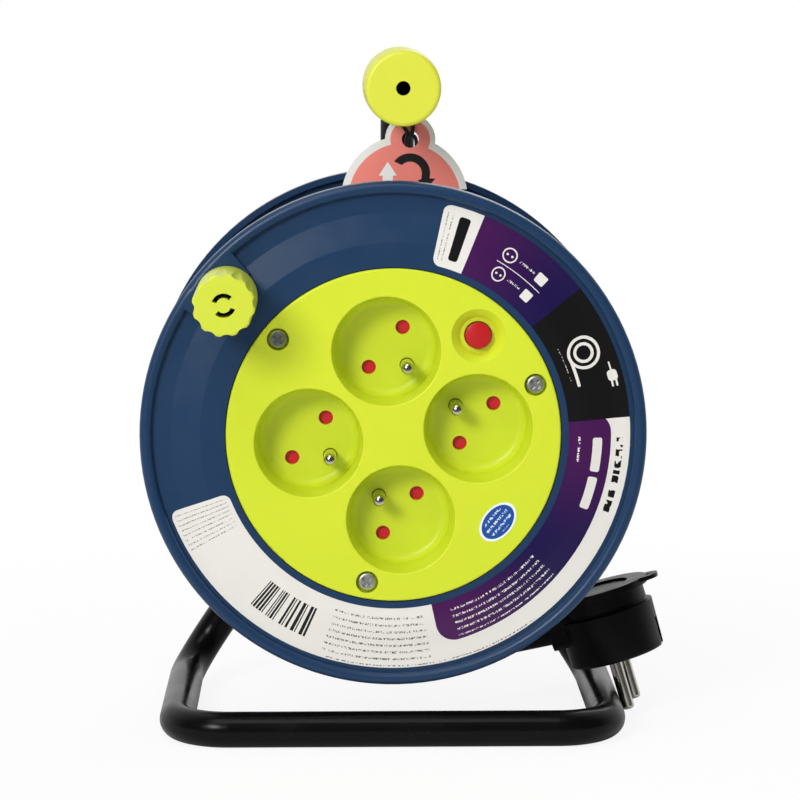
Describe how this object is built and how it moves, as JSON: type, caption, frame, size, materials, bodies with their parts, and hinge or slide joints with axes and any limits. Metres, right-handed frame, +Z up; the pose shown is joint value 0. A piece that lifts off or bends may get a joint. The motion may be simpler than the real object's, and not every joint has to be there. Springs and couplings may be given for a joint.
{
  "type": "extension cord reel",
  "caption": "Cable reel on a bent tube stand with carrying grip: a turning drum holds the wound cable, pin-earth sockets and an overload cut-out, and the plug hangs beside it.",
  "frame": {"origin": "on the floor under the middle of the reel, knob and stand counted, cable and plug left out", "axes": "+X right as seen from the socket side, +Y from the socket side to the back along the axle, +Z up"},
  "size_m": [0.1942, 0.153, 0.2515],
  "materials": {
    "black_paint": "satin",
    "zinc_steel": "satin",
    "blue_plastic": "fine moulded grain",
    "lime_plastic": "satin",
    "pale_lime_plastic": "satin",
    "black_plastic": "satin",
    "red_plastic": "gloss",
    "dark_red_plastic": "satin",
    "grey_plastic": "matt",
    "white_nylon": "matt",
    "nickel": "bright",
    "brass": "stamped",
    "cable_jacket": "matt",
    "black_string": "twisted",
    "coated_card": "printed card"
  },
  "bodies": {
    "stand": {"stand_tube": "black_paint", "hub_plate": "black_paint", "hub_welds": "black_paint", "axle": "zinc_steel", "axle_screw": "zinc_steel", "retaining_washer": "zinc_steel", "thrust_washer": "white_nylon", "handle_grip": "pale_lime_plastic", "cable_tail": "cable_jacket", "plug_body": "black_plastic", "plug_lid": "black_plastic", "plug_pins": "nickel", "plug_earth_clips": "nickel", "plug_strain_relief": "black_plastic"},
    "drum": {"cable_outer_layer": "cable_jacket", "cable_core": "cable_jacket", "drum_front": "blue_plastic", "drum_rear": "blue_plastic", "drum_screws": "zinc_steel", "hub_bush": "white_nylon", "socket_panel": "lime_plastic", "panel_screws": "zinc_steel", "breaker_body": "black_plastic", "breaker_terminals": "brass", "reset_spring": "zinc_steel", "contact_base": "grey_plastic", "base_screws": "zinc_steel", "live_bar": "brass", "neutral_bar": "brass", "earth_bar": "brass", "earth_pins": "nickel", "cable_inner_end": "cable_jacket", "cable_clamp": "white_nylon", "clamp_screws": "zinc_steel", "socket_cup_1": "lime_plastic", "socket_cup_2": "lime_plastic", "socket_cup_3": "lime_plastic", "socket_cup_4": "lime_plastic"},
    "knob": {"winding_knob": "pale_lime_plastic"},
    "reset_button": {"reset_button": "red_plastic"},
    "tag": {"hang_tag": "coated_card", "tag_string": "black_string"},
    "shutter_1": {"shutter_1": "dark_red_plastic"},
    "shutter_2": {"shutter_2": "dark_red_plastic"},
    "shutter_3": {"shutter_3": "dark_red_plastic"},
    "shutter_4": {"shutter_4": "dark_red_plastic"}
  },
  "joints": [
    {"name": "drum_turn", "type": "hinge", "parent": "stand", "child": "drum", "pos_m": [0, 0.0065, 0.1135], "axis": [0, 1, 0], "continuous": true},
    {"name": "knob_turn", "type": "hinge", "parent": "drum", "child": "knob", "pos_m": [-0.05935, -0.0595, 0.16365], "axis": [0, 1, 0], "continuous": true},
    {"name": "reset_press", "type": "slide", "parent": "drum", "child": "reset_button", "axis": [0, 1, 0], "range_m": [0, 0.002], "stiffness_N_per_m": 300, "deforming": ["reset_spring"]},
    {"name": "tag_swing", "type": "hinge", "parent": "stand", "child": "tag", "pos_m": [0.0035, 0.0455, 0.2374], "axis": [0, 1, 0], "range_deg": [-8, 8]},
    {"name": "shutter_1_slide", "type": "slide", "parent": "drum", "child": "shutter_1", "axis": [-0.7638, 0, 0.6455], "range_m": [0, 0.0062], "stiffness_N_per_m": 60},
    {"name": "shutter_2_slide", "type": "slide", "parent": "drum", "child": "shutter_2", "axis": [-0.7638, 0, 0.6455], "range_m": [0, 0.0062], "stiffness_N_per_m": 60},
    {"name": "shutter_3_slide", "type": "slide", "parent": "drum", "child": "shutter_3", "axis": [0.7638, 0, -0.6455], "range_m": [0, 0.0062], "stiffness_N_per_m": 60},
    {"name": "shutter_4_slide", "type": "slide", "parent": "drum", "child": "shutter_4", "axis": [0.7638, 0, -0.6455], "range_m": [0, 0.0062], "stiffness_N_per_m": 60}
  ]
}
